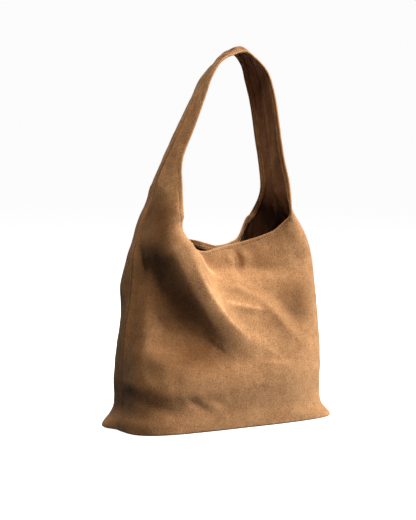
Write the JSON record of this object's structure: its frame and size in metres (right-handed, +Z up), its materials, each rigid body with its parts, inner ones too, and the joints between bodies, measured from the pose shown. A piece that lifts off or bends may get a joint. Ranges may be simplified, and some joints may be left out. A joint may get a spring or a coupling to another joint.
{
  "type": "hobo bag",
  "caption": "Slouchy suede shoulder bag whose front and back panels run up into one wide strap, with a flat oval base and a hidden magnetic snap.",
  "frame": {"origin": "middle of the base's underside, on the surface that the bag stands on", "axes": "+X along the bag's length, to its right seen from the front; -Y is the front; +Z up"},
  "size_m": [0.36, 0.165, 0.5933],
  "materials": {
    "suede": "brushed tan-brown suede, matt, with a short nap",
    "facing": "finer suede, matt, slightly darker than the outside",
    "lining": "dark brown cotton twill",
    "board": "raw fibre board",
    "tape": "undyed woven cotton tape",
    "snap": "brushed antique brass plate"
  },
  "bodies": {
    "bag": {"front_panel": "suede", "back_panel": "suede", "base_panel": "suede", "base_board": "board", "base_lining": "lining", "front_lining": "lining", "back_lining": "lining", "front_facing_left": "facing", "front_facing_right": "facing", "back_facing": "facing", "back_rim_tape": "tape", "snap_socket": "snap", "snap_socket_washer": "snap"},
    "mouth_front": {"front_mouth_panel": "suede", "front_mouth_facing": "facing", "front_mouth_lining": "lining", "front_rim_tape": "tape", "snap_stud": "snap", "snap_stud_washer": "snap"},
    "strap": {"strap_front": "suede", "strap_back": "suede", "strap_facing_front": "facing", "strap_facing_back": "facing", "strap_tape": "tape"}
  },
  "joints": [
    {"name": "strap_fold", "type": "hinge", "parent": "bag", "child": "strap", "pos_m": [0, 0, 0.42], "axis": [1, 0, 0], "range_deg": [-110, 110]},
    {"name": "mouth_open", "type": "hinge", "parent": "bag", "child": "mouth_front", "pos_m": [0, -0.068, 0.19], "axis": [1, 0, 0], "range_deg": [0, 35]}
  ]
}
